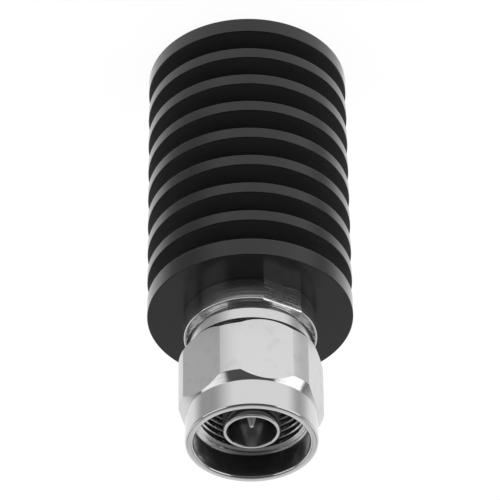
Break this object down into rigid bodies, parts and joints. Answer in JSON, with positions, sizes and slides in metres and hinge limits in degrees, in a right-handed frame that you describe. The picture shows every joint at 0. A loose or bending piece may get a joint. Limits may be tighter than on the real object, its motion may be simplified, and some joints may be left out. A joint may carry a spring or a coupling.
{
  "type": "rf dummy load",
  "caption": "Coaxial RF dummy load: a screw-on male plug with a free-turning coupling nut on a round finned heat sink that turns the signal into heat.",
  "frame": {"origin": "centre of the heat sink's flat rear end, on which the part stands", "axes": "+Z along the connector's axis, from the heat sink to the plug's mouth; -Y is the side that faces the camera in the picture"},
  "size_m": [0.0296, 0.0296, 0.0665],
  "materials": {
    "black_anodised": "black anodised, satin",
    "nickel_plate": "nickel plated, turned",
    "spring_bronze": "phosphor bronze spring strip",
    "silicone_rubber": "moulded silicone rubber",
    "white_ptfe": "turned PTFE",
    "bare_brass": "turned brass",
    "resistive_ceramic": "resistive film on a ceramic rod",
    "silver_plate": "silver plated",
    "spring_steel": "hardened spring steel"
  },
  "bodies": {
    "load": {"heatsink": "black_anodised", "connector_body": "nickel_plate", "gasket": "silicone_rubber", "outer_contact": "nickel_plate", "center_pin": "nickel_plate", "insulator_bead": "white_ptfe", "matching_sleeve": "bare_brass", "resistor_rod": "resistive_ceramic", "resistor_front_cap": "silver_plate", "resistor_rear_cap": "silver_plate", "ground_plug": "bare_brass", "disc_spring": "spring_steel"},
    "ring": {"retaining_ring": "spring_bronze"},
    "nut": {"coupling_nut": "nickel_plate"}
  },
  "joints": [
    {"name": "nut_float", "type": "slide", "parent": "load", "child": "ring", "axis": [0, 0, 1], "range_m": [0, 0.0004]},
    {"name": "nut_spin", "type": "hinge", "parent": "ring", "child": "nut", "pos_m": [0, 0, 0.05785], "axis": [0, 0, 1], "continuous": true}
  ]
}
